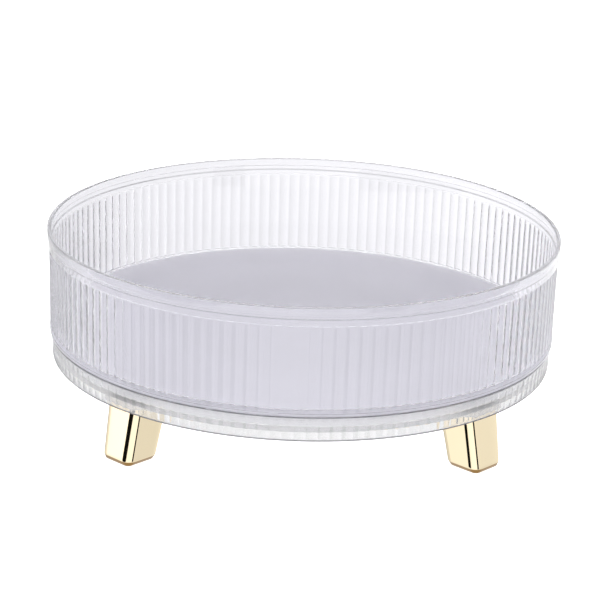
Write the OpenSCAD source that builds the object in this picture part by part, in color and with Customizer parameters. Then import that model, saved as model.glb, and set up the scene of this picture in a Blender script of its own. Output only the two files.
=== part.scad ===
// Round vanity tray that turns on a fluted base with four splayed legs.
// The origin is the centre of the footprint, on the surface that the foot
// pads stand on. +Z is up and the front is -Y. All sizes are millimetres.

/* [Tray] */
// Outer radius of the rim
rim_r = 125; // [100:1:150]
// Height of the tray from its underside to its rim
tray_h = 51.8; // [35:0.1:80]
// Wall thickness at the ridges between flutes
wall_t = 2.2; // [1.8:0.1:3.5]
// Floor thickness
floor_t = 2.4; // [1.6:0.1:4]
// Height of the plain band below the rim
band_h = 8.8; // [7:0.1:14]
// How far the plain band stands out from the ridges between flutes
band_out = 0.8; // [0.3:0.1:2]
// Height of the lip round the top of the plain band
lip_h = 4.2; // [2:0.1:5]
// How far the lip stands out from the band
lip_out = 0.4; // [0.2:0.1:1]
// Depth of the rebate inside the rim
rebate_h = 5.9; // [2:0.1:6]
// How much the rebate thins the wall
rebate_t = 0.6; // [0.3:0.1:1]
// Height of the plain foot below the tray's flutes
tray_foot_h = 1.4; // [0.8:0.1:4]

/* [Flutes] */
// Number of flutes round the tray, and round the base
flute_n = 144; // [96:12:180]
// Depth of a flute
flute_d = 0.7; // [0.3:0.05:0.9]
// How far the plain lines above and below the flutes stand out from their ridges
line_out = 0.15; // [0.1:0.05:0.5]

/* [Base] */
// Height of the base's underside above the surface it stands on
stand_h = 27.3; // [18:0.1:50]
// Height of the fluted skirt
skirt_h = 11.4; // [11:0.1:20]
// Skirt thickness at the ridges between flutes
skirt_t = 2.2; // [1.8:0.1:3.5]
// How far the skirt lies inside the tray's foot
base_inset = 0.7; // [0.2:0.1:3]
// Height of the plain line along each edge of the skirt
skirt_line_h = 0.8; // [0.4:0.1:1.6]
// Thickness of the deck
deck_t = 2.2; // [2:0.1:4]
// Gap between the skirt's top and the tray's underside
seam_gap = 0.8; // [0.5:0.1:2]

/* [Turntable] */
// Diameter of a bearing ball
ball_d = 5; // [4:0.5:6]
// Number of bearing balls
ball_n = 12; // [6:1:16]
// Radius of the circle that the balls run on
race_r = 68; // [50:1:75]
// Width of the raised race under the tray
race_w = 10; // [7.5:0.5:14]
// Height of the raised race under the tray
race_h = 2; // [1.2:0.1:4]
// Depth of both ball grooves
groove_depth = 0.8; // [0.4:0.1:1.2]
// Gap between a ball and its groove
groove_gap = 0.15; // [0.1:0.05:0.3]
// Thickness of the ball cage
cage_t = 1.6; // [1:0.1:2]
// Gap between a ball and its pocket in the cage
pocket_gap = 0.2; // [0.1:0.05:0.4]
// Width of cage left outside the pockets
cage_rim_w = 3; // [2:0.5:6]
// Width of the ring that the cage slides on
cage_foot_w = 2.5; // [1.5:0.5:5]

/* [Pivot] */
// Radius of the spigot under the tray
pivot_r = 6; // [4.5:0.5:9]
// Running gap between the spigot and the hub
pivot_gap = 0.08; // [0.03:0.01:0.1]
// Wall thickness of the hub
hub_t = 4; // [2.5:0.5:7]
// How far the hub reaches below the deck
hub_drop = 2.2; // [1:0.1:6]
// Vertical play of the tray on its pivot
pivot_play = 0.4; // [0.2:0.1:1]
// How far the pivot washer reaches out past the spigot
washer_edge = 3; // [1.5:0.5:6]
// Thickness of the pivot washer
washer_t = 1; // [0.6:0.1:2]
// Length of the pivot screw below its head
pivot_screw_l = 9; // [7:0.5:11]

/* [Legs] */
// Side of a leg at its top
leg_w = 22; // [16:0.1:24]
// Side of a leg at its foot
leg_foot_w = 19.6; // [15:0.1:24]
// Corner radius of a leg
leg_round = 4.8; // [1:0.1:6]
// Outward lean of a leg in degrees
leg_lean = 11.7; // [0:0.1:14]
// Distance from the skirt's inside to a leg's outer face
leg_edge = 2.2; // [1.5:0.1:10]
// Wall thickness of a leg
leg_t = 2; // [1.4:0.1:3]
// Height of the solid end at a leg's foot
leg_end_h = 5; // [3:0.1:8]
// How far the chamfer round a leg's foot cuts in
leg_chamfer = 1.4; // [0.4:0.1:2]
// Height of the chamfer round a leg's foot
leg_chamfer_h = 2.1; // [0.6:0.1:3]
// Gap between a leg and its socket
socket_gap = 0.3; // [0.2:0.05:0.6]
// Wall thickness of a socket
socket_t = 1.6; // [1:0.1:3]
// Depth of a socket below the deck
socket_h = 3; // [2:0.1:6]
// Radius of a foot pad
pad_r = 4.8; // [3:0.1:6]
// Thickness of a foot pad
pad_t = 1.6; // [1:0.1:3]
// How far a foot pad stands out of its leg
pad_out = 0.6; // [0.3:0.1:0.9]

/* [Screws] */
// Shank diameter of every screw
screw_d = 3; // [2.5:0.1:3.5]
// Head diameter of every screw
screw_head_d = 5.8; // [5:0.1:7]
// Head height of every screw
screw_head_h = 1.9; // [1.5:0.1:2.4]
// Gap between a screw and its hole
screw_gap = 0.1; // [0.05:0.05:0.3]
// Length of a leg screw below its head
leg_screw_l = 10; // [8:0.5:14]
// Half the distance between a leg's two screws
leg_screw_off = 4.4; // [3.4:0.1:5]
// Wall thickness of a screw boss
boss_t = 1.3; // [1:0.1:2]

/* [Hidden] */
$fn = 48;
ROUND = 180;      // segments of the large round shapes
FLUTE_STEPS = 6;  // straight steps across one flute
EPS = 0.01;       // overlap of a cut past the face it opens
CORNERS = ["front_left", "front_right", "back_right", "back_left"];

// heights
skirt_top_z = stand_h + skirt_h;
tray_z = skirt_top_z + seam_gap;
floor_z = tray_z + floor_t;
rim_z = tray_z + tray_h;
ball_r = ball_d / 2;
race_z = tray_z - race_h;
deck_z = race_z - 2 * (ball_r + groove_gap - groove_depth);
ball_z = (race_z + deck_z) / 2;
deck_under_z = deck_z - deck_t;
hub_low_z = deck_under_z - hub_drop;
spigot_low_z = hub_low_z - pivot_play;

// radii
band_r = rim_r - lip_out;
tray_flute_r = band_r - band_out;
tray_foot_r = tray_flute_r + line_out;
skirt_line_r = tray_foot_r - base_inset;
skirt_flute_r = skirt_line_r - line_out;
skirt_in_r = skirt_flute_r - skirt_t;
washer_r = pivot_r + washer_edge;
hub_in_r = pivot_r + pivot_gap;
hub_r = hub_in_r + hub_t;
groove_r = ball_r + groove_gap;
cage_in_r = hub_r + 1;
cage_r = race_r + ball_r + pocket_gap + cage_rim_w;
leg_top_r = skirt_in_r - leg_edge - leg_w / 2;
leg_screw_r = leg_top_r + 1;
hole_r = screw_d / 2 + screw_gap;
boss_r = hole_r + boss_t;

function ball_name(i) = str("bearing_ball_", i + 1);
function corner_angle(i) = -135 + 90 * i;
// centre of a leg's section at height z, as a distance from the turning axis
function leg_r(z) = leg_top_r + (deck_under_z - z) * tan(leg_lean);
// a flute's depth at a share of its width: a shallow arch, nothing at both ridges
function flute_cut(share) = flute_d * (1 - pow(2 * share - 1, 2));

// A solid fluted drum of radius ridge_r over its ridges
module fluted_drum(ridge_r, h) {
    linear_extrude(height = h)
        polygon([
            for (i = [0 : flute_n - 1]) for (s = [0 : FLUTE_STEPS - 1])
                let (share = s / FLUTE_STEPS,
                     a = 360 / flute_n * (i + share),
                     r = ridge_r - flute_cut(share))
                [r * cos(a), r * sin(a)]
        ]);
}

// The ring groove that the balls run in
module ball_groove() {
    translate([0, 0, ball_z])
        rotate_extrude($fn = ROUND) translate([race_r, 0]) circle(r = groove_r);
}

// A self-tapping screw along -Z, with its head's underside at the origin
module screw(length) {
    tip = screw_d / 2;
    slot_w = screw_d / 4;
    slot_l = screw_head_d * 0.6;
    difference() {
        union() {
            rotate_extrude() polygon([
                [0, 0], [screw_head_d / 2, 0],
                [screw_head_d / 2, screw_head_h * 0.5],
                [screw_head_d * 0.36, screw_head_h], [0, screw_head_h]
            ]);
            translate([0, 0, tip - length]) cylinder(d = screw_d, h = length - tip);
            translate([0, 0, -length]) cylinder(d1 = screw_d * 0.3, d2 = screw_d, h = tip);
        }
        for (a = [0, 90])
            rotate(a) translate([-slot_l / 2, -slot_w / 2, screw_head_h * 0.4])
                cube([slot_l, slot_w, screw_head_h]);
    }
}

// The clear bowl: floor, fluted wall, plain band with its lip, race and pivot spigot
module tray() {
    flutes_z = tray_z + tray_foot_h;
    band_z = rim_z - band_h;
    color("lavender", 0.5) difference() {
        union() {
            translate([0, 0, tray_z]) cylinder(r = tray_foot_r, h = tray_foot_h, $fn = ROUND);
            translate([0, 0, flutes_z]) fluted_drum(tray_flute_r, band_z - flutes_z);
            translate([0, 0, band_z]) cylinder(r = band_r, h = band_h, $fn = ROUND);
            translate([0, 0, rim_z - lip_h])
                cylinder(r = rim_r, h = lip_h, $fn = ROUND);
            translate([0, 0, race_z]) difference() {
                cylinder(r = race_r + race_w / 2, h = race_h + EPS, $fn = ROUND);
                translate([0, 0, -1])
                    cylinder(r = race_r - race_w / 2, h = race_h + 1, $fn = ROUND);
            }
            translate([0, 0, spigot_low_z]) cylinder(r = pivot_r, h = floor_z - spigot_low_z);
        }
        translate([0, 0, floor_z])
            cylinder(r1 = tray_flute_r - wall_t, r2 = band_r - wall_t,
                     h = rim_z - floor_z + EPS, $fn = ROUND);
        translate([0, 0, rim_z - rebate_h])
            cylinder(r = band_r - wall_t + rebate_t, h = rebate_h + 1, $fn = ROUND);
        ball_groove();
        translate([0, 0, spigot_low_z - EPS])
            cylinder(r = hole_r, h = pivot_screw_l - washer_t + 0.5);
    }
}

// The clear base: fluted skirt, deck with its ball groove, hub and four leg sockets
module base() {
    flutes_z = stand_h + skirt_line_h;
    color("lavender", 0.6) difference() {
        union() {
            translate([0, 0, flutes_z]) fluted_drum(skirt_flute_r, skirt_h - 2 * skirt_line_h);
            for (z = [stand_h, skirt_top_z - skirt_line_h])
                translate([0, 0, z]) cylinder(r = skirt_line_r, h = skirt_line_h, $fn = ROUND);
        }
        translate([0, 0, deck_z])
            cylinder(r = skirt_in_r, h = skirt_top_z - deck_z + 1, $fn = ROUND);
        difference() {
            translate([0, 0, stand_h - 1])
                cylinder(r = skirt_in_r, h = deck_under_z - stand_h + 1, $fn = ROUND);
            for (i = [0 : 3]) rotate(corner_angle(i)) leg_socket();
        }
        ball_groove();
        translate([0, 0, deck_under_z - 1]) cylinder(r = hub_r - 1, h = deck_t + 2);
        for (i = [0 : 3]) rotate(corner_angle(i)) for (y = [-1, 1])
            translate([leg_screw_r, y * leg_screw_off, deck_under_z - 1])
                cylinder(r = hole_r, h = deck_t + 2);
    }
    color("lavender", 0.6) translate([0, 0, hub_low_z]) difference() {
        cylinder(r = hub_r, h = tray_z - 1 - hub_low_z);
        translate([0, 0, -1]) cylinder(r = hub_in_r, h = tray_z - hub_low_z + 1);
    }
}

// The wall round a leg's top, standing down from the deck
module leg_socket() {
    side = leg_w + 2 * (socket_gap + socket_t);
    shift = socket_h * tan(leg_lean) / 2;
    difference() {
        translate([leg_top_r + shift, 0, deck_under_z - socket_h / 2])
            cube([side + 2 * shift, side, socket_h + EPS], center = true);
        leg_form(socket_gap, deck_under_z - socket_h - 1, deck_under_z + 1);
    }
}

// A rounded square plate across a leg at height z
module leg_section(side, z) {
    inner = side / 2 - leg_round;
    translate([leg_r(z), 0, z])
        for (x = [-1, 1], y = [-1, 1])
            translate([x * inner, y * inner, 0]) cylinder(r = leg_round, h = EPS, $fn = 32);
}

// side of a leg's section at height z
function leg_side(z) =
    leg_foot_w + (leg_w - leg_foot_w) * (z - pad_out) / (deck_under_z - pad_out);

// The leaning body of a leg from low_z to top_z, larger all round by grow
module leg_form(grow, low_z, top_z) {
    hull() {
        leg_section(leg_side(low_z) + 2 * grow, low_z);
        leg_section(leg_side(top_z) + 2 * grow, top_z - EPS);
    }
}

// A plated leg, cored from the top, with two screw bosses and a recess for its pad
module leg() {
    chamfer_z = pad_out + leg_chamfer_h;
    boss_h = deck_under_z - leg_end_h;
    color("gold") difference() {
        hull() {
            leg_section(leg_side(pad_out) - 2 * leg_chamfer, pad_out);
            leg_section(leg_side(chamfer_z), chamfer_z);
            leg_section(leg_w, deck_under_z - EPS);
        }
        difference() {
            leg_form(-leg_t, leg_end_h, deck_under_z + 1);
            for (y = [-1, 1])
                translate([leg_screw_r, y * leg_screw_off, leg_end_h - 1])
                    cylinder(r = boss_r, h = boss_h + 1);
        }
        for (y = [-1, 1])
            translate([leg_screw_r, y * leg_screw_off, deck_z - leg_screw_l - 0.5])
                cylinder(r = hole_r, h = leg_screw_l + 1);
        translate([leg_r(pad_out), 0, pad_out - 1])
            cylinder(r = pad_r + screw_gap, h = 1 + pad_t - pad_out);
    }
}

// The soft pad under a leg, with its lower edge rounded off
module foot_pad() {
    edge = pad_out * 0.6;
    color("gainsboro") translate([leg_r(pad_out), 0, 0]) {
        rotate_extrude() polygon([
            [0, 0], [pad_r - edge, 0], [pad_r, edge], [pad_r, pad_t], [0, pad_t]
        ]);
    }
}

// The disc that keeps the balls apart and slides round the hub
module ball_cage() {
    low_z = ball_z - cage_t / 2;
    foot_z = deck_z + 0.1;
    color("whitesmoke") difference() {
        union() {
            translate([0, 0, low_z]) cylinder(r = cage_r, h = cage_t, $fn = ROUND);
            translate([0, 0, foot_z]) cylinder(r = cage_in_r + cage_foot_w, h = low_z - foot_z + EPS);
        }
        translate([0, 0, foot_z - 1]) cylinder(r = cage_in_r, h = low_z - foot_z + cage_t + 2);
        for (i = [0 : ball_n - 1]) rotate(i * 360 / ball_n)
            translate([race_r, 0, low_z - 1]) cylinder(r = ball_r + pocket_gap, h = cage_t + 2);
    }
}

module bearing_ball(i) {
    color("silver") rotate(i * 360 / ball_n) translate([race_r, 0, ball_z]) sphere(r = ball_r);
}

// The washer that keeps the tray on the hub
module pivot_washer() {
    color("silver") translate([0, 0, spigot_low_z - washer_t]) difference() {
        cylinder(r = washer_r, h = washer_t);
        translate([0, 0, -1]) cylinder(r = hole_r, h = washer_t + 2);
    }
}

module pivot_screw() {
    color("silver") translate([0, 0, spigot_low_z - washer_t])
        rotate([180, 0, 0]) screw(pivot_screw_l);
}

// Two screws for each leg, down through the deck
module leg_screws() {
    color("silver") for (i = [0 : 3]) rotate(corner_angle(i)) for (y = [-1, 1])
        translate([leg_screw_r, y * leg_screw_off, deck_z]) screw(leg_screw_l);
}

tray();
base();
ball_cage();
pivot_washer();
pivot_screw();
leg_screws();
for (i = [0 : ball_n - 1])
    bearing_ball(i);
for (i = [0 : 3])
    rotate(corner_angle(i)) leg();
for (i = [0 : 3])
    rotate(corner_angle(i)) foot_pad();
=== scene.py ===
import math

import bpy
from mathutils import Matrix, Vector


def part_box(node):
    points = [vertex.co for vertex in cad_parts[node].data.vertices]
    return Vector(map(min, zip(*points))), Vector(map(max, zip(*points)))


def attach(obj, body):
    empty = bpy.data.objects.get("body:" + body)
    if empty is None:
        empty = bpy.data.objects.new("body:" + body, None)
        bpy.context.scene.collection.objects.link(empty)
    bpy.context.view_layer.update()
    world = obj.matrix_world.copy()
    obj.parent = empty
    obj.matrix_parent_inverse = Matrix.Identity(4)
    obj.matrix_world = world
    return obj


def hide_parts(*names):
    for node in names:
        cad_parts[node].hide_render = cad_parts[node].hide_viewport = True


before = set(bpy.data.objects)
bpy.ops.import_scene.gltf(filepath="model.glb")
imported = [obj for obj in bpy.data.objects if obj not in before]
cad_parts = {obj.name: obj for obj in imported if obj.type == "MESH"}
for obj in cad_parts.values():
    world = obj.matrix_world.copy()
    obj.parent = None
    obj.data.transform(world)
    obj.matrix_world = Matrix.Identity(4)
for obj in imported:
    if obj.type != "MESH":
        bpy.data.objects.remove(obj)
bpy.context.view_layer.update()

# ---------------------------------------------------------------- sizes, in millimetres
MM = 0.001
rim_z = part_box("tray")[1][2] / MM
skirt_low_z, skirt_top_z = (corner[2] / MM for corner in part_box("base"))
rim_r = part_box("tray")[1][0] / MM
spigot_low_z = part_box("tray")[0][2] / MM
leg_top_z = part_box("leg_front_left")[1][2] / MM
leg_low_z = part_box("leg_front_left")[0][2] / MM

TOUCH = 0.02          # between two shells that lie against each other
SEAM_GAP = 0.8        # between the skirt and the tray
FLOOR_T = 2.4         # tray floor
WALL_T = 2.2          # tray wall and base skirt
DECK_T = 2.2          # base deck
BAND_H = 8.8          # plain band below the rim
BAND_OUT = 0.45       # how far the band stands out from the flutes
LIP_H = 4.2           # lip at the top of the band
LIP_OUT = 0.4         # how far the lip stands out from the band
REBATE_H = 5.9        # rebate inside the rim
REBATE_T = 0.6        # how much the rebate thins the wall
WALL_DRAFT = 1.2      # how far the tray's wall leans in from the rim to the floor
TRAY_FOOT_IN = 1.05   # from the rim's radius to the plain foot below the flutes
TRAY_FOOT_OUT = 0.2   # how far the foot stands out from the flutes
TRAY_FOOT_H = 1.4     # height of that foot
COVE_R = 1.2          # where the floor meets the wall
RIM_ROUND = 0.7       # both edges of the rim
FLUTES = 144          # round the tray, and round the base
FLUTE_D = 0.45        # depth of a flute in the polished surface
SKIRT_IN = 1.75       # from the rim's radius to the plain line at the skirt's top
SKIRT_DRAFT = 0.6     # how far the skirt's foot lies inside its top
LINE_OUT = 0.15       # how far the skirt's plain lines stand out from its flutes
LINE_H = 0.8          # height of those lines
ETCH_IN = 3.2         # from the rim's radius to the etched part of the tray's underside
SATIN_IN = 4.6        # from the rim's radius to the satin part of the floor
RACE_R = 68           # circle that the balls run on
RACE_HALF_W = 5       # half the width of the raised race
RACE_H = 2            # height of the raised race
GROOVE_R = 2.65       # radius of both ball grooves
PIVOT_R = 6           # spigot
SCREW_HOLE_R, SCREW_HOLE_H = 1.6, 8.5
HUB_IN_R, HUB_R = 6.08, 10.08
HUB_DROP = 2.2        # hub below the deck
LEG_LEAN = math.tan(math.radians(11.7))
LEG_TOP_W, LEG_FOOT_W = 22, 19.6
LEG_ROUND = 4.8       # corner radius of a leg
LEG_TO_SKIRT = 2.2    # from a leg's outer face to the skirt
LEG_T = 2             # wall of a leg
FOOT_IN, FOOT_H = 1.4, 2.1  # chamfer round a leg's foot
LEG_END_H = 5         # top of a leg's solid end, above the table
SOCKET_GAP, SOCKET_T, SOCKET_H = 0.3, 1.6, 3
SOCKET_TO_SKIRT = 0.15
PAD_HOLE_R, PAD_HOLE_H = 4.9, 1  # recess for a pad under a leg

tray_z = skirt_top_z + SEAM_GAP
floor_z = tray_z + FLOOR_T
deck_z = leg_top_z + DECK_T
skirt_in_r = rim_r - SKIRT_IN - LINE_OUT - WALL_T


# ---------------------------------------------------------------- shader maths
class Value:
    """A socket in a node tree, with Python's operators as Math nodes."""

    def __init__(self, tree, socket):
        self.tree, self.socket = tree, socket

    def math(self, operation, *others):
        node = self.tree.nodes.new("ShaderNodeMath")
        node.operation = operation
        for slot, value in zip(node.inputs, (self, *others)):
            plug(self.tree, slot, value)
        return Value(self.tree, node.outputs[0])

    def __add__(self, other):
        return self.math("ADD", other)

    __radd__ = __add__

    def __mul__(self, other):
        return self.math("MULTIPLY", other)

    __rmul__ = __mul__

    def __sub__(self, other):
        return self.math("SUBTRACT", other)

    def __rsub__(self, other):
        return (self * -1) + other

    def __truediv__(self, other):
        return self.math("DIVIDE", other)

    def step(self, low, high):
        """0 below low, 1 above high, and a smooth rise between."""
        rise = self.math("SUBTRACT", low).math("DIVIDE", high - low)
        rise = rise.math("MAXIMUM", 0).math("MINIMUM", 1)
        return rise * rise * (3 - 2 * rise)


def plug(tree, slot, value):
    """Links a Value or a socket to slot, or sets a plain number or colour on it."""
    if isinstance(value, Value):
        tree.links.new(value.socket, slot)
    elif isinstance(value, bpy.types.NodeSocket):
        tree.links.new(value, slot)
    else:
        slot.default_value = value


class Maker:
    """Makes the nodes of one material or world."""

    def __init__(self, owner):
        owner.use_nodes = True
        self.tree = owner.node_tree
        self.tree.nodes.clear()

    def node(self, kind, settings=None, output=0, **sockets):
        """One node of a type: its settings first, then values or links by socket name or number."""
        node = self.tree.nodes.new(kind)
        for key, value in (settings or {}).items():
            setattr(node, key, value)
        for key, value in sockets.items():
            slot = node.inputs[int(key[1:])] if key[:1] == "_" else node.inputs[key.replace("_", " ")]
            plug(self.tree, slot, value)
        return Value(self.tree, node.outputs[output]) if node.outputs else None

    def noise(self, scale, detail=2.0, stretch=(1, 1, 1)):
        place = self.node("ShaderNodeTexCoord", output="Object")
        place = self.node("ShaderNodeMapping", Vector=place, Scale=stretch)
        return self.node("ShaderNodeTexNoise", Vector=place, Scale=scale, Detail=detail)

    def bump(self, height, strength, distance):
        return self.node("ShaderNodeBump", Height=height, Strength=strength, Distance=distance)

    def blend(self, share, colour_a, colour_b):
        return self.node("ShaderNodeMix", {"data_type": "RGBA"}, output=2, _0=share, _6=colour_a,
                         _7=colour_b)

    def finish(self, shader):
        self.node("ShaderNodeOutputMaterial", Surface=shader)


def new_material(name):
    material = bpy.data.materials.new(name)
    return material, Maker(material)


# ---------------------------------------------------------------- finishes
# colour of the painted shade mixed into clear plastic along its edges
PAINTED_EDGE_SHADE = (0.08, 0.08, 0.10, 1)


def clear_plastic(name, tint, shadow_tint, milk, flutes, edges):
    """Polished clear moulding with faint flow ripples, a little milk and haze, which lets lamps shine
    through. Its flutes, given as (low, high, extra roughness), are less polished. Along its edges, each
    given as (height, half its width, least radius, most radius, shade, more shade at a slant), painted
    shade darkens its colour, more where the surface is seen at a slant."""
    material, make = new_material(name)
    ripple = make.noise(35, detail=1.0, stretch=(1, 1, 0.35))
    haze = make.noise(90, detail=3.0)
    slant = make.node("ShaderNodeLayerWeight", output="Facing", Blend=0.5).step(0.1, 0.5)
    place = make.node("ShaderNodeTexCoord", output="Object")
    x, y, z = (make.node("ShaderNodeSeparateXYZ", output=i, Vector=place) for i in range(3))
    radius = (x * x + y * y).math("SQRT")
    dark = None
    # each edge paints a line of shade into the colour, darker still where the surface is seen at a slant
    for height, half, inner, outer, shade, more in edges:
        line = 1 - (z - height * MM).math("ABSOLUTE").step(half * 0.6 * MM, half * MM)
        line = line * radius.step((inner - 0.1) * MM, inner * MM)
        line = line * (1 - radius.step(outer * MM, (outer + 0.1) * MM))
        line = line * (slant * more + shade)
        dark = line if dark is None else dark.math("MAXIMUM", line)
    low, high, blur = flutes
    fluted = z.step((low - 0.5) * MM, (low + 0.5) * MM) * (1 - z.step((high - 0.5) * MM, (high + 0.5) * MM))
    plastic = make.node("ShaderNodeBsdfPrincipled", Base_Color=make.blend(dark, tint, PAINTED_EDGE_SHADE),
                        Roughness=haze * 0.03 + 0.005 + fluted * blur, IOR=1.5,
                        Transmission_Weight=1 - milk, Normal=make.bump(ripple, 0.05, 0.0004))
    lamp = make.node("ShaderNodeLightPath", output="Is Shadow Ray")
    through = make.node("ShaderNodeBsdfTransparent", Color=shadow_tint)
    make.finish(make.node("ShaderNodeMixShader", _0=lamp, _1=plastic, _2=through))
    return material


def frosted_plastic(name, colour_a, colour_b, clear, roughness):
    """Finely etched clear moulding: part of the light scatters in its skin, the rest goes on blurred."""
    material, make = new_material(name)
    cloud = make.noise(9, detail=3.0)
    grain = make.noise(1800, detail=2.0)
    skin = make.node("ShaderNodeBsdfPrincipled", Base_Color=make.blend(cloud, colour_a, colour_b),
                     Roughness=grain * 0.1 + roughness, IOR=1.5, Transmission_Weight=clear,
                     Normal=make.bump(grain, 0.08, 0.00005))
    lamp = make.node("ShaderNodeLightPath", output="Is Shadow Ray")
    through = make.node("ShaderNodeBsdfTransparent", Color=(0.7, 0.7, 0.72, 1))
    make.finish(make.node("ShaderNodeMixShader", _0=lamp * clear, _1=skin, _2=through))
    return material


def mirror_gold(name):
    """Pale gold electroplating over a polished moulding, with painted shade on the foot's chamfer."""
    material, make = new_material(name)
    swirl = make.noise(55, detail=2.0)
    fine = make.noise(600, detail=3.0)
    gold = make.blend(swirl, (0.90, 0.77, 0.53, 1), (0.92, 0.80, 0.57, 1))
    place = make.node("ShaderNodeTexCoord", output="Object")
    height = make.node("ShaderNodeSeparateXYZ", output=2, Vector=place)
    # painted shade: the foot's chamfer is coloured dark gold for the shadowed table it reflects
    foot = 1 - height.step((leg_low_z + FOOT_H - 0.3) * MM, (leg_low_z + FOOT_H + 0.1) * MM)
    gold = make.blend(foot, gold, (0.36, 0.21, 0.07, 1))
    make.finish(make.node("ShaderNodeBsdfPrincipled", Base_Color=gold, Metallic=1.0,
                          Roughness=fine * 0.04 + 0.02,
                          Normal=make.bump(swirl, 0.04, 0.0005)))
    return material


def bright_metal(name, colour, roughness, scratch):
    """Plated or polished steel with fine handling marks."""
    material, make = new_material(name)
    marks = make.noise(900, detail=4.0, stretch=(1, 1, 6))
    tone = make.blend(marks, colour, tuple(c * 0.8 for c in colour[:3]) + (1,))
    make.finish(make.node("ShaderNodeBsdfPrincipled", Base_Color=tone, Metallic=1.0,
                          Roughness=marks * scratch + roughness,
                          Normal=make.bump(marks, 0.06, 0.00005)))
    return material


def soft_silicone(name):
    """Milky silicone with a fine matt grain."""
    material, make = new_material(name)
    grain = make.noise(1200, detail=3.0)
    tone = make.blend(grain, (0.80, 0.80, 0.80, 1), (0.70, 0.70, 0.71, 1))
    make.finish(make.node("ShaderNodeBsdfPrincipled", Base_Color=tone,
                          Roughness=grain * 0.2 + 0.45, Transmission_Weight=0.2,
                          Normal=make.bump(grain, 0.2, 0.00008)))
    return material


# ---------------------------------------------------------------- mesh work
def arc(centre_r, centre_z, radius, start, end, steps):
    """Outline points on an arc, from one angle to another in degrees."""
    for i in range(steps + 1):
        a = math.radians(start + (end - start) * i / steps)
        yield (centre_r + radius * math.cos(a), centre_z + radius * math.sin(a), 0)


# shares of a flute's width where its surface is sampled, closest at its ridge
SHARES = (0, 0.06, 0.16, 0.32, 0.5, 0.68, 0.84, 0.94)


def flute_cut(share):
    """Depth of a flute's hollow at a share of its width."""
    return FLUTE_D * (1 - (2 * share - 1) ** 2)


def turned(outline, ring=False):
    """Vertices and faces of an outline of (radius, height, share of the flute's depth) turned
    about the Z axis. A ring's outline closes on itself; any other starts and ends on the axis."""
    turns = [(2 * math.pi * (i + s) / FLUTES, flute_cut(s)) for i in range(FLUTES) for s in SHARES]
    vertices, rows = [], []
    for r, z, share in outline:
        if r == 0:
            rows.append([len(vertices)])
            vertices.append((0, 0, z * MM))
            continue
        rows.append(list(range(len(vertices), len(vertices) + len(turns))))
        for a, cut in turns:
            at = (r - cut * share) * MM
            vertices.append((at * math.cos(a), at * math.sin(a), z * MM))
    faces = []
    pairs = list(zip(rows, rows[1:] + rows[:1] if ring else rows[1:]))
    n = len(turns)
    for low, high in pairs:
        for i in range(n):
            j = (i + 1) % n
            if len(low) == 1:
                faces.append((low[0], high[i], high[j]))
            elif len(high) == 1:
                faces.append((low[i], high[0], low[j]))
            else:
                faces.append((low[i], high[i], high[j], low[j]))
    return vertices, faces


CORNER_STEPS = 10


def rounded_square(side, corner):
    """Points of a rounded square about the origin."""
    inner = side / 2 - corner
    for quarter in range(4):
        cx, cy = ((1, 1), (-1, 1), (-1, -1), (1, -1))[quarter]
        for i in range(CORNER_STEPS + 1):
            a = math.radians(90 * quarter + 90 * i / CORNER_STEPS)
            yield (cx * inner + corner * math.cos(a), cy * inner + corner * math.sin(a))


def lofted(sections, closed=False):
    """Vertices and faces through sections of equally many points, capped unless closed."""
    vertices = [(x * MM, y * MM, z * MM) for section in sections for x, y, z in section]
    n, count = len(sections[0]), len(sections)
    faces = []
    for row in range(count if closed else count - 1):
        a, b = row * n, (row + 1) % count * n
        for i in range(n):
            j = (i + 1) % n
            faces.append((a + i, a + j, b + j, b + i))
    if not closed:
        faces.append(tuple(reversed(range(n))))
        faces.append(tuple(range((count - 1) * n, count * n)))
    return vertices, faces


def piece(name, parts, body, slot, *materials, sharp=32):
    """One object from several closed shells, shaded smooth up to an angle."""
    vertices, faces = [], []
    for part_vertices, part_faces in parts:
        start = len(vertices)
        vertices += part_vertices
        faces += [tuple(i + start for i in face) for face in part_faces]
    mesh = bpy.data.meshes.new(name)
    mesh.from_pydata(vertices, [], faces)
    mesh.validate()
    mesh.shade_smooth()
    mesh.set_sharp_from_angle(angle=math.radians(sharp))
    for material in materials:
        mesh.materials.append(material)
    made = bpy.data.objects.new(name, mesh)
    bpy.context.scene.collection.objects.link(made)
    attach(made, body)
    return made


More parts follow.
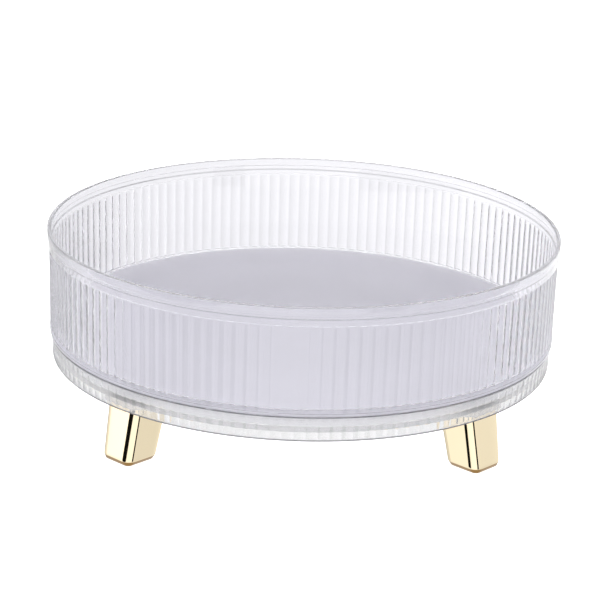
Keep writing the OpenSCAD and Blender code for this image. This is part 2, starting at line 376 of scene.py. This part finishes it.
# ---------------------------------------------------------------- the tray
def tray_outline():
    """From the middle of the floor, up inside, over the rim, down outside and back underneath."""
    band_r = rim_r - LIP_OUT
    inner_top, inner_low = band_r - WALL_T, rim_r - WALL_DRAFT - WALL_T
    rebate_r = inner_top + REBATE_T
    band_z, lip_z, step_z = rim_z - BAND_H, rim_z - LIP_H, rim_z - REBATE_H
    foot_r, cove, edge = rim_r - TRAY_FOOT_IN, COVE_R, RIM_ROUND
    flute_top_r, flute_low_r = band_r - BAND_OUT, foot_r - TRAY_FOOT_OUT
    flute_low_z = tray_z + TRAY_FOOT_H
    yield from ((0, floor_z, 0), (RACE_R, floor_z, 0))
    yield from arc(inner_low - cove, floor_z + cove, cove, -90, 0, 5)
    yield from ((inner_top, step_z - 0.3, 0), (inner_top + 0.12, step_z, 0))
    yield from ((rebate_r - 0.1, step_z + 0.08, 0), (rebate_r, step_z + 0.3, 0))
    yield from arc(rebate_r + edge, rim_z - edge, edge, 180, 90, 5)
    yield from arc(rim_r - edge, rim_z - edge, edge, 90, 0, 5)
    yield from ((rim_r, lip_z + 0.25, 0), (rim_r - 0.1, lip_z + 0.05, 0))
    yield from ((band_r + 0.08, lip_z - 0.05, 0), (band_r, lip_z - 0.25, 0))
    yield from ((band_r - 0.05, band_z + 0.3, 0), (band_r - 0.15, band_z + 0.06, 0))
    yield from ((flute_top_r + 0.05, band_z, 0), (flute_top_r, band_z - 0.25, 0.35))
    yield from ((flute_top_r, band_z - 0.7, 0.8), (flute_top_r, band_z - 1.3, 1))
    yield from ((flute_low_r, flute_low_z + 1, 1), (flute_low_r, flute_low_z + 0.5, 0.8))
    yield from ((flute_low_r, flute_low_z + 0.1, 0.2), (foot_r, flute_low_z, 0))
    yield from arc(foot_r - 0.5, tray_z + 0.5, 0.5, 0, -90, 4)
    yield from ((rim_r - ETCH_IN, tray_z, 0), (RACE_R, tray_z, 0), (0, tray_z, 0))


def race_outline():
    """Round the raised race, which hangs from the tray's etched underside."""
    inner, outer, race_z = RACE_R - RACE_HALF_W, RACE_R + RACE_HALF_W, tray_z - RACE_H
    groove_z = (race_z + deck_z) / 2
    groove_half = math.degrees(math.acos((race_z - groove_z) / GROOVE_R))
    root_z, chamfer = tray_z - TOUCH, 0.6
    yield from ((inner, root_z, 0), (outer + chamfer, root_z, 0), (outer, tray_z - chamfer, 0))
    yield (outer, race_z, 0)
    yield from arc(RACE_R, groove_z, GROOVE_R, 90 - groove_half, 90 + groove_half, 8)
    yield (inner, race_z, 0)


def spigot_outline():
    """From the middle of the spigot's root, out, down and back up its screw hole."""
    root_z, hole_z = tray_z - TOUCH, spigot_low_z + SCREW_HOLE_H
    root, chamfer = 0.8, 0.4
    yield from ((0, root_z, 0), (PIVOT_R + root, root_z, 0), (PIVOT_R, tray_z - root, 0))
    yield from ((PIVOT_R, spigot_low_z + chamfer, 0), (PIVOT_R - chamfer, spigot_low_z, 0))
    yield from ((SCREW_HOLE_R, spigot_low_z, 0), (SCREW_HOLE_R, hole_z, 0), (0, hole_z, 0))


def etch(made, index, height, up, reach):
    """Gives a material by its index to the faces within 0.1 of a height, out to a radius, that face
    up (1) or down (-1)."""
    for face in made.data.polygons:
        level = abs(face.center.z - height * MM) < 0.1 * MM and face.normal.z * up > 0.9
        if level and face.center.xy.length < reach * MM:
            face.material_index = index


def make_tray(clear, satin, frost):
    """The bowl, and the race and spigot under it as shells of their own, so that the etched
    underside has no gap."""
    shells = [turned(list(tray_outline())), turned(list(race_outline()), ring=True)]
    shells.append(turned(list(spigot_outline())))
    bowl = piece("tray_bowl", shells, "tray", "clear_tray", clear, satin, frost)
    etch(bowl, 1, floor_z, 1, rim_r - SATIN_IN)
    etch(bowl, 2, tray_z, -1, rim_r - ETCH_IN)
    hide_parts("tray")


# ---------------------------------------------------------------- the base
def base_outline():
    """From the skirt's top edge, down outside, in under the deck, through the hub and back out."""
    line_r, inner_r = rim_r - SKIRT_IN, skirt_in_r
    inner_round, hub_chamfer = 0.8, 0.8
    low_line_r = line_r - SKIRT_DRAFT
    flute_top_r, flute_low_r = line_r - LINE_OUT, low_line_r - LINE_OUT
    under_z, top_z, low_z = deck_z - DECK_T, skirt_top_z, skirt_low_z
    groove_z = (tray_z - RACE_H + deck_z) / 2
    groove_half = math.degrees(math.acos((groove_z - deck_z) / GROOVE_R))
    yield from ((inner_r + 0.3, top_z, 0), (line_r - 0.3, top_z, 0))
    yield from ((line_r - 0.08, top_z - 0.1, 0), (line_r, top_z - 0.3, 0))
    yield (line_r, top_z - LINE_H + 0.1, 0)
    yield from ((flute_top_r, top_z - LINE_H, 0), (flute_top_r, top_z - LINE_H - 0.3, 0.7))
    yield from ((flute_top_r, top_z - 2 * LINE_H, 1), (flute_low_r, low_z + 2 * LINE_H, 1))
    yield from ((flute_low_r, low_z + LINE_H + 0.3, 0.7), (flute_low_r, low_z + LINE_H, 0))
    yield from ((low_line_r, low_z + LINE_H - 0.1, 0), (low_line_r, low_z + 0.3, 0))
    yield from ((low_line_r - 0.08, low_z + 0.1, 0), (low_line_r - 0.3, low_z, 0))
    yield from ((inner_r + 0.2, low_z, 0), (inner_r, low_z + 0.2, 0), (inner_r, under_z - inner_round, 0))
    yield from arc(inner_r - inner_round, under_z - inner_round, inner_round, 0, 90, 4)
    yield from ((HUB_R + hub_chamfer, under_z, 0), (HUB_R, under_z - hub_chamfer, 0))
    yield from ((HUB_R, under_z - HUB_DROP, 0), (HUB_IN_R, under_z - HUB_DROP, 0))
    yield from ((HUB_IN_R, tray_z - 1, 0), (HUB_R, tray_z - 1, 0), (HUB_R, deck_z, 0))
    yield from arc(RACE_R, groove_z, GROOVE_R, 270 - groove_half, 270 + groove_half, 8)
    yield from arc(inner_r - inner_round, deck_z + inner_round, inner_round, -90, 0, 4)
    yield (inner_r, top_z - 0.3, 0)


def leg_centre(z):
    """Distance of a leg's axis from the turning axis at height z."""
    return skirt_in_r - LEG_TO_SKIRT - LEG_TOP_W / 2 + (leg_top_z - z) * LEG_LEAN


def leg_side(z):
    """Width of a leg at height z."""
    return LEG_FOOT_W + (LEG_TOP_W - LEG_FOOT_W) * (z - leg_low_z) / (leg_top_z - leg_low_z)


def across_leg(side, corner, z, turn):
    """A rounded square section of a leg or its socket at height z, turned to its corner."""
    c, s = math.cos(turn), math.sin(turn)
    out = leg_centre(z)
    return [((out + x) * c - y * s, (out + x) * s + y * c, z) for x, y in rounded_square(side, corner)]


CORNERS = ("front_left", "front_right", "back_right", "back_left")


def corner_turn(i):
    """Bearing of a leg by its number in CORNERS."""
    return math.radians(-135 + 90 * i)


def leg_socket(turn):
    """The wall round a leg's top, hanging from the deck and kept clear of the skirt."""
    high, low = leg_top_z - TOUCH, leg_top_z - SOCKET_H
    wide, narrow = 2 * (SOCKET_GAP + SOCKET_T), 2 * SOCKET_GAP
    rows = ((wide, high), (wide, low + 0.3), (wide - 0.5, low), (narrow + 0.5, low),
            (narrow, low + 0.3), (narrow, high))
    sections = []
    for grow, z in reversed(rows):
        section = across_leg(leg_side(z) + grow, LEG_ROUND + grow / 2, z, turn)
        inside = [min(1, (skirt_in_r - SOCKET_TO_SKIRT) / math.hypot(x, y)) for x, y, _ in section]
        sections.append([(x * k, y * k, z) for (x, y, _), k in zip(section, inside)])
    return lofted(sections, closed=True)


def make_base(clear, frost):
    """The skirt, deck and hub in one shell, with a socket for each leg, and the deck's top etched."""
    shells = [turned(list(base_outline()), ring=True)]
    shells += [leg_socket(corner_turn(i)) for i in range(4)]
    moulding = piece("base_moulding", shells, "base", "clear_base", clear, frost)
    etch(moulding, 1, deck_z, 1, skirt_in_r)
    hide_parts("base")


# ---------------------------------------------------------------- the legs
def leg_sections(turn):
    """From the recess for the pad, round the foot, up outside, over the top and down the core."""
    c, s = math.cos(turn), math.sin(turn)

    def circle(radius, z):
        out = leg_centre(leg_low_z)
        for x, y in rounded_square(leg_side(z), LEG_ROUND):
            far = math.hypot(x, y)
            x, y = out + x / far * radius, y / far * radius
            yield (x * c - y * s, x * s + y * c, z)

    sections = [list(circle(PAD_HOLE_R, leg_low_z + h)) for h in (PAD_HOLE_H, 0)]
    top = leg_top_z - TOUCH
    rows = ((FOOT_IN, 0), (FOOT_IN - 0.1, 0.05), (0.14, FOOT_H - 0.2), (0.04, FOOT_H), (0, FOOT_H + 0.2))
    rows = [(inset, leg_low_z + z) for inset, z in rows]
    rows += [(0, leg_low_z + FOOT_H + 1), (0, top - 0.8), (0, top - 0.3), (0.3, top)]
    rows += [(LEG_T - 0.2, top), (LEG_T, top - 0.2)]
    for inset, z in rows:
        sections.append(across_leg(leg_side(z) - 2 * inset, max(LEG_ROUND - inset * 1.6, 0.4), z, turn))
    sections.append(across_leg(leg_side(LEG_END_H) - 2 * LEG_T, 0.4, LEG_END_H, turn))
    return sections


def make_legs(gold):
    """Four hollow legs, each plated all over."""
    for i, corner in enumerate(CORNERS):
        shell = lofted(leg_sections(corner_turn(i)))
        leg = piece(f"plated_leg_{corner}", [shell], "base", "gold_plate", gold, sharp=40)
        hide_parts(f"leg_{corner}")


# ---------------------------------------------------------------- the CAD pieces' finishes
def finish_nodes(finishes):
    """Gives each CAD node that stays in view its finish, by the start of its name."""
    for name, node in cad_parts.items():
        for start, material in finishes.items():
            if name.startswith(start):
                node.data.materials.clear()
                node.data.materials.append(material)


# ---------------------------------------------------------------- studio
def make_floor():
    """A pale table top, lit evenly so that no shadow shows on it."""
    material, make = new_material("studio_floor")
    tone = make.blend(make.noise(3, detail=2.0), (0.93, 0.93, 0.93, 1), (0.95, 0.95, 0.95, 1))
    make.finish(make.node("ShaderNodeBsdfPrincipled", Base_Color=tone, Roughness=0.9,
                          Specular_IOR_Level=0.0, Emission_Color=(1, 1, 1, 1), Emission_Strength=1.0))
    mesh = bpy.data.meshes.new("studio_floor")
    reach = 12
    mesh.from_pydata([(-reach, -reach, 0), (reach, -reach, 0), (reach, reach, 0), (-reach, reach, 0)],
                     [], [(0, 1, 2, 3)])
    mesh.materials.append(material)
    floor = bpy.data.objects.new("studio_floor", mesh)
    floor.visible_glossy = floor.visible_transmission = floor.visible_diffuse = False
    floor.visible_shadow = False
    bpy.context.scene.collection.objects.link(floor)


def make_world():
    """A white tent over a glowing table. Its brightness goes by direction: x is to the right, y away
    behind the tray and z up, and across is how far to the right a direction points on the level."""
    world = bpy.data.worlds.new("studio")
    bpy.context.scene.world = world
    make = Maker(world)
    way = make.node("ShaderNodeTexCoord", output="Generated")
    x, y, z = (make.node("ShaderNodeSeparateXYZ", output=i, Vector=way) for i in range(3))
    across = x / (x * x + y * y).math("SQRT").math("MAXIMUM", 0.01)

    # behind the tray it darkens evenly to the left, and is bright again at the far left
    slope, middle = 0.65, 0.93
    behind = across.math("MAXIMUM", -0.5).math("MINIMUM", 0.3) * slope + middle
    behind = behind + 0.5 * (1 - across.step(-0.9, -0.55)) - 0.08 * across.step(0.6, 0.9)

    # in front it is brighter at the left end and dimmer at the right
    left, right = 1 - across.step(-0.98, -0.9), across.step(0.5, 0.85)
    front = 1.33 + left * 0.32 - right * 0.36
    ring = front + (behind - front) * y.step(0.03, 0.2)

    # the sides are dimmer just below the level, more so at the left
    below = (z * -1).step(0.12, 0.32)
    ring = ring * (1 - across * across * below * (0.2 - across * 0.1))

    table, ceiling = 0.9, 1.15
    ring = table + (ring - table) * z.step(-0.75, -0.45)
    glow = ring + (ceiling - ring) * z.step(0.12, 0.35)
    light = make.node("ShaderNodeBackground", Color=(1, 1, 1, 1), Strength=glow)
    make.node("ShaderNodeOutputWorld", Surface=light)


def black_card(name, start, end, taper):
    """A bent black card from one bearing to another, narrower at its foot by taper degrees at each
    end, which shows only as dark lines in gloss."""
    material, make = new_material(name)
    make.finish(make.node("ShaderNodeBsdfDiffuse", Color=(0.005, 0.005, 0.005, 1)))
    far, low, high, steps = 2.5, -1.3, 0.5, 16
    vertices = []
    for i in range(steps + 1):
        for z, inset in ((low, taper), (high, 0)):
            a = math.radians(start + inset + (end - start - 2 * inset) * i / steps)
            vertices.append((far * math.cos(a), far * math.sin(a), z))
    mesh = bpy.data.meshes.new(name)
    mesh.from_pydata(vertices, [], [(2 * i, 2 * i + 2, 2 * i + 3, 2 * i + 1) for i in range(steps)])
    mesh.materials.append(material)
    made = bpy.data.objects.new(name, mesh)
    made.visible_camera = made.visible_diffuse = made.visible_shadow = False
    made.visible_transmission = False
    bpy.context.scene.collection.objects.link(made)


def soft_lamp(name, place, aim, side, power):
    """A square softbox at one place, aimed at another."""
    data = bpy.data.lights.new(name, "AREA")
    data.shape, data.size, data.energy = "SQUARE", side, power
    made = bpy.data.objects.new(name, data)
    made.location = place
    made.rotation_euler = (Vector(aim) - Vector(place)).to_track_quat("-Z", "Y").to_euler()
    bpy.context.scene.collection.objects.link(made)


def make_camera():
    """A long lens, a little above the rim, aimed just below it and rolled slightly."""
    turn, lift = math.radians(-1.604), math.radians(16.864)
    distance = 9 * rim_r * MM
    back = Vector((0, -math.cos(lift), math.sin(lift)))
    pitch, yaw, roll = math.radians(18.876), math.radians(0.107), math.radians(1.8425)
    ahead = Vector((math.sin(yaw) * math.cos(pitch), math.cos(yaw) * math.cos(pitch), -math.sin(pitch)))
    right = ahead.cross(Vector((0, 0, 1))).normalized()
    up = right.cross(ahead)
    tilted_right = math.cos(roll) * right + math.sin(roll) * up
    tilted_up = math.cos(roll) * up - math.sin(roll) * right
    axes = Matrix((tilted_right, tilted_up, -ahead)).transposed().to_4x4()
    data = bpy.data.cameras.new("camera")
    data.lens, data.sensor_width = 135.39, 36
    data.clip_start, data.clip_end = 0.05, 60
    camera = bpy.data.objects.new("camera", data)
    placed = Matrix.Translation(back * distance) @ axes
    camera.matrix_world = Matrix.Translation((0, 0, rim_z * MM)) @ Matrix.Rotation(turn, 4, "Z") @ placed
    bpy.context.scene.collection.objects.link(camera)
    bpy.context.scene.camera = camera


def painted_shade_of_tray():
    """Painted shade along the rim, the lip's lower edge, the rebate's step and the foot, as clear_plastic
    takes them.
    """
    yield (rim_z, 0.55, rim_r - 2.3, rim_r - 0.15, 0.45, 0)
    yield (rim_z - LIP_H, 0.22, rim_r - 0.6, rim_r, 0.15, 0.3)
    yield (rim_z - REBATE_H, 0.4, rim_r - 2.8, rim_r - 1.9, 0.5, 0)
    yield (tray_z, 0.35, rim_r - 2, rim_r, 0.15, 0.75)


def painted_shade_of_base():
    """Painted shade along the skirt's top and foot, and over its lower half below the deck."""
    yield (skirt_top_z, 0.5, rim_r - 3, rim_r, 0.15, 0.8)
    yield (skirt_low_z, 0.9, rim_r - 3, rim_r, 0.9, 0.1)
    # painted shade over the skirt's lower half, below the deck
    yield (skirt_low_z + 1.9, 3.4, rim_r - 5, rim_r, 0.11, 0)


def set_light_paths():
    """Enough bounces for light that runs round inside the clear walls."""
    view = bpy.context.scene.view_settings
    cycles = bpy.context.scene.cycles
    view.view_transform = "Standard"
    cycles.max_bounces, cycles.transparent_max_bounces = 24, 24
    cycles.glossy_bounces, cycles.transmission_bounces = 16, 20


def main():
    make_camera()
    set_light_paths()
    make_world()
    make_floor()
    soft_lamp("top_softbox", (0.1, 0.1, 1.4), (0, 0, 0), 1.2, 2)
    black_card("card_left", -175, -116, 16)
    black_card("card_right", -62, -46, 0)
    tray_flutes = (tray_z + TRAY_FOOT_H, rim_z - BAND_H, 0.03)
    base_flutes = (skirt_low_z + LINE_H, skirt_top_z - LINE_H, 0.05)
    clear = clear_plastic("clear_lavender_plastic", (0.955, 0.951, 0.986, 1), (0.95, 0.95, 0.97, 1),
                          0.08, tray_flutes, painted_shade_of_tray())
    clear_white = clear_plastic("clear_plastic", (0.975, 0.975, 0.985, 1), (0.96, 0.96, 0.97, 1),
                                0.2, base_flutes, painted_shade_of_base())
    satin = frosted_plastic("satin_floor_plastic", (0.97, 0.965, 0.99, 1), (0.99, 0.985, 1.0, 1), 0.97,
                            0.28)
    frost = frosted_plastic("etched_floor_plastic", (0.64, 0.63, 0.70, 1), (0.67, 0.66, 0.72, 1), 0.25,
                            0.4)
    pale = frosted_plastic("etched_deck_plastic", (0.88, 0.88, 0.90, 1), (0.92, 0.92, 0.94, 1), 0.3, 0.4)
    milky = frosted_plastic("cage_plastic", (0.72, 0.71, 0.80, 1), (0.75, 0.74, 0.82, 1), 0.3, 0.4)
    make_tray(clear, satin, frost)
    make_base(clear_white, pale)
    make_legs(mirror_gold("plated_gold"))
    finish_nodes({
        "ball_cage": milky,
        "bearing_ball": bright_metal("ball_steel", (0.78, 0.78, 0.80, 1), 0.05, 0.06),
        "pivot_": bright_metal("zinc_steel", (0.62, 0.63, 0.65, 1), 0.2, 0.2),
        "leg_screws": bright_metal("screw_steel", (0.45, 0.47, 0.52, 1), 0.25, 0.2),
        "foot_pad": soft_silicone("pad_silicone"),
    })


main()
